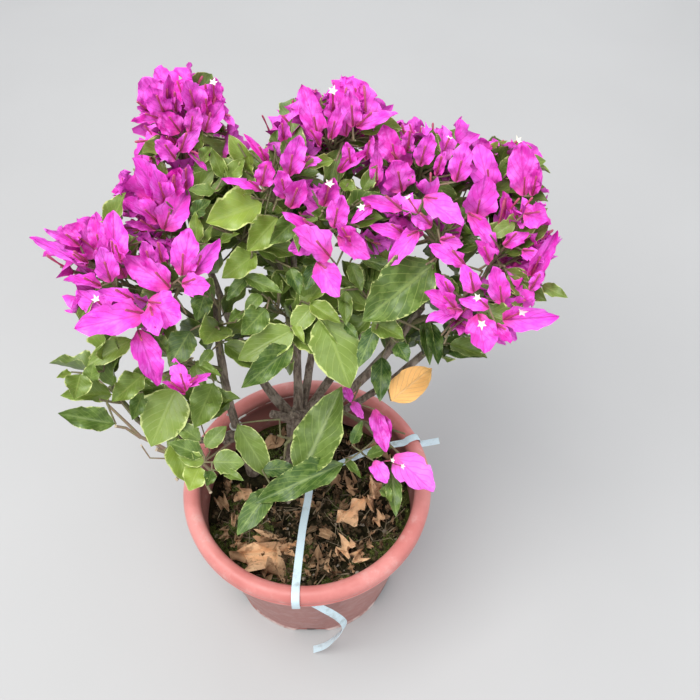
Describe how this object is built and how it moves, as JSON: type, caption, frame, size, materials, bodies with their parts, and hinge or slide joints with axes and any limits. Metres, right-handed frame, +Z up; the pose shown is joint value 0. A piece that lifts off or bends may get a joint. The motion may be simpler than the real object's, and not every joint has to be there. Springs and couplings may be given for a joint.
{
  "type": "potted bougainvillea bush",
  "caption": "Bougainvillea bush in its round nursery pot: woody stems on a short gnarled trunk, variegated leaves, magenta bracts in threes and a flat tie strap over the rim.",
  "frame": {"origin": "centre of the pot's flat underside", "axes": "+Z up along the pot's axis; -Y towards the side that is seen first; +X to its right"},
  "size_m": [0.4186, 0.379, 0.5534],
  "materials": {
    "pot_plastic": "weathered terracotta-red plastic, darker and dusty below the lip",
    "soil": "moist dark mix with moss, twigs and dry leaves",
    "bark": "rough grey-brown bark",
    "leaf": "satin green leaves with pale yellow-green margins",
    "bloom": "papery magenta bracts",
    "strap": "smooth pale-blue packing strap"
  },
  "bodies": {
    "root": {"back_bloom": "bloom", "back_bough": "bark", "back_left_leaves": "leaf", "back_low_leaves": "leaf", "back_right_leaves": "leaf", "centre_bloom": "bloom", "centre_bough": "bark", "centre_leaves": "leaf", "centre_left_bloom": "bloom", "centre_left_bough": "bark", "centre_low_leaves": "leaf", "centre_top_bloom": "bloom", "faded_bloom": "bloom", "front_shoot": "bark", "left_back_bough": "bark", "left_drooping_bloom": "bloom", "left_inner_bloom": "bloom", "left_low_bough": "bark", "left_low_leaves": "leaf", "left_mid_leaves": "leaf", "left_outer_bloom": "bloom", "left_stem": "bark", "left_tip_leaves": "leaf", "left_top_bloom": "bloom", "left_upper_bloom": "bloom", "left_upper_leaves": "leaf", "pot": "pot_plastic", "right_back_bloom": "bloom", "right_back_bough": "bark", "right_bough": "bark", "right_leaves": "leaf", "right_low_bloom": "bloom", "right_low_bough": "bark", "right_low_leaves": "leaf", "right_mid_bloom": "bloom", "right_outer_bloom": "bloom", "right_top_bloom": "bloom", "soil": "soil", "strap_front": "strap", "strap_right": "strap", "strap_tail": "strap", "trunk": "bark"}
  },
  "joints": []
}
